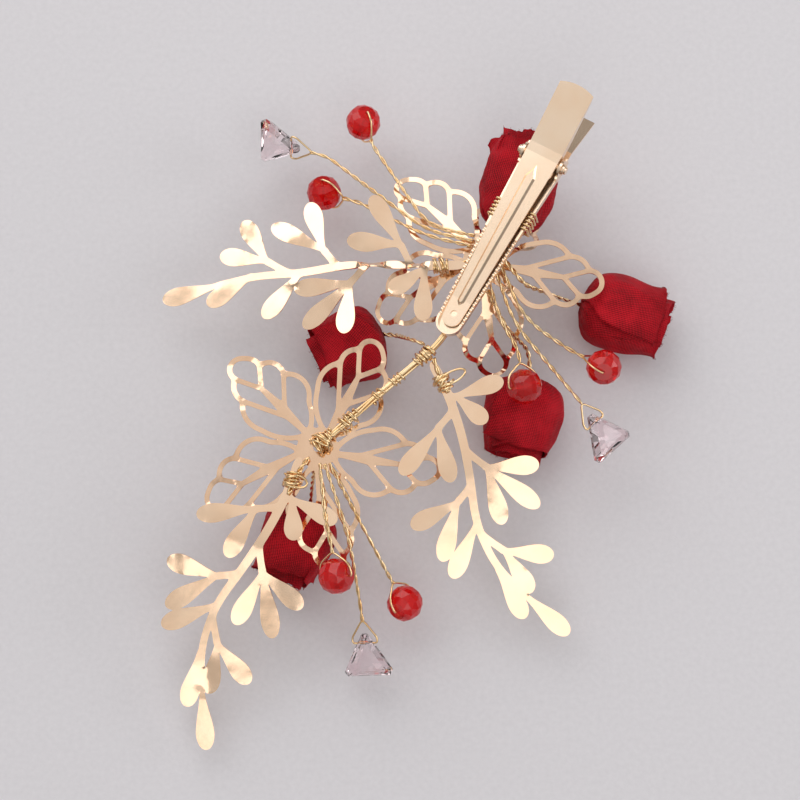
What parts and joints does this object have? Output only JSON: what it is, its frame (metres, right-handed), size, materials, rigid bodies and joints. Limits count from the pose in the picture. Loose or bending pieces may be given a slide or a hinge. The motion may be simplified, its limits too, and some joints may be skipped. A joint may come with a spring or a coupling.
{
  "type": "hair clip",
  "caption": "Alligator hair clip carrying stamped openwork flowers, leaf sprays, dark red ribbon rosebuds and faceted beads on twisted gold wire",
  "frame": {"origin": "on the floor under the middle of the ornament's bounding box", "axes": "the ornament lies face down: +Z is away from the worn face, on the clip's side; +Y is along the ornament's length, from the lower spray's tip to the clip's handles; +X is across it to the right"},
  "size_m": [0.1106, 0.137, 0.0333],
  "materials": {
    "clip_plating": "pale champagne plating, satin",
    "pale_gold": "bright pale gold plating on stamped sheet",
    "gold_wire": "bright gold craft wire",
    "spring_steel": "drawn spring wire",
    "red_ribbon": "ribbed dark red taffeta with raw edges",
    "red_crystal": "transparent red, cut facets",
    "pink_crystal": "pale pink clear, cut facets",
    "clear_stone": "clear cut stone"
  },
  "bodies": {
    "ornament": {"bead_a1_wire": "gold_wire", "bead_a2_wire": "gold_wire", "bead_b1_wire": "gold_wire", "bead_b2_wire": "gold_wire", "bead_c1_wire": "gold_wire", "bead_c2_wire": "gold_wire", "bundle_wires": "gold_wire", "clip_base": "clip_plating", "clip_binding": "gold_wire", "clip_pin": "clip_plating", "clip_spring": "spring_steel", "crystal_a_wire": "gold_wire", "crystal_b_wire": "gold_wire", "crystal_c_wire": "gold_wire", "flower_1": "pale_gold", "flower_1_stone": "clear_stone", "flower_2": "pale_gold", "flower_2_stone": "clear_stone", "knot": "gold_wire", "rose_1": "red_ribbon", "rose_1_stem": "gold_wire", "rose_2": "red_ribbon", "rose_2_stem": "gold_wire", "rose_3": "red_ribbon", "rose_3_stem": "gold_wire", "rose_4": "red_ribbon", "rose_4_stem": "gold_wire", "rose_5": "red_ribbon", "rose_5_stem": "gold_wire", "spray_a": "pale_gold", "spray_a_stem": "gold_wire", "spray_b": "pale_gold", "spray_b_stem": "gold_wire", "spray_c": "pale_gold", "spray_c_stem": "gold_wire", "tie_a": "gold_wire", "tie_b": "gold_wire", "tie_c": "gold_wire", "wrap_flower": "gold_wire", "wrap_lower": "gold_wire", "wrap_middle": "gold_wire", "wrap_nose": "gold_wire"},
    "lever": {"clip_lever": "clip_plating"},
    "bead_a1": {"bead_a1": "red_crystal"},
    "bead_a2": {"bead_a2": "red_crystal"},
    "bead_b1": {"bead_b1": "red_crystal"},
    "bead_b2": {"bead_b2": "red_crystal"},
    "bead_c1": {"bead_c1": "red_crystal"},
    "bead_c2": {"bead_c2": "red_crystal"},
    "crystal_a": {"crystal_a": "pink_crystal"},
    "crystal_b": {"crystal_b": "pink_crystal"},
    "crystal_c": {"crystal_c": "pink_crystal"}
  },
  "joints": [
    {"name": "lever_hinge", "type": "hinge", "parent": "ornament", "child": "lever", "pos_m": [0.02488, 0.05226, 0.02693], "axis": [-0.8576, 0.4951, -0.1392], "range_deg": [0, 25], "stiffness_Nm_per_rad": 0.2, "springref_deg": -20.05, "deforming": ["clip_spring"]},
    {"name": "bead_a1_turn", "type": "hinge", "parent": "ornament", "child": "bead_a1", "pos_m": [-0.0126, 0.06481, 0.01215], "axis": [0.2529, 0.3843, 0.8879], "continuous": true},
    {"name": "bead_a2_turn", "type": "hinge", "parent": "ornament", "child": "bead_a2", "pos_m": [-0.021, 0.04971, 0.01015], "axis": [-0.1424, 0.5618, 0.8149], "continuous": true},
    {"name": "bead_b1_turn", "type": "hinge", "parent": "ornament", "child": "bead_b1", "pos_m": [0.0377, 0.01011, 0.01815], "axis": [-0.1248, -0.4953, 0.8597], "continuous": true},
    {"name": "bead_b2_turn", "type": "hinge", "parent": "ornament", "child": "bead_b2", "pos_m": [0.0211, 0.00591, 0.01865], "axis": [-0.8413, -0.2146, 0.4961], "continuous": true},
    {"name": "bead_c1_turn", "type": "hinge", "parent": "ornament", "child": "bead_c1", "pos_m": [-0.0177, -0.03349, 0.01895], "axis": [-0.8357, 0.0261, -0.5485], "continuous": true},
    {"name": "bead_c2_turn", "type": "hinge", "parent": "ornament", "child": "bead_c2", "pos_m": [-0.0037, -0.03829, 0.01015], "axis": [-0.5214, -0.5754, 0.6301], "continuous": true},
    {"name": "crystal_a_turn", "type": "hinge", "parent": "ornament", "child": "crystal_a", "pos_m": [-0.0281, 0.05931, 0.01215], "axis": [0.039, 0.666, 0.745], "range_deg": [-50, 50]},
    {"name": "crystal_b_turn", "type": "hinge", "parent": "ornament", "child": "crystal_b", "pos_m": [0.0359, -0.00129, 0.01615], "axis": [-0.6908, -0.6438, 0.329], "range_deg": [-50, 50]},
    {"name": "crystal_c_turn", "type": "hinge", "parent": "ornament", "child": "crystal_c", "pos_m": [-0.0119, -0.04649, 0.00965], "axis": [-0.9576, -0.0124, -0.2878], "range_deg": [-50, 50]}
  ]
}
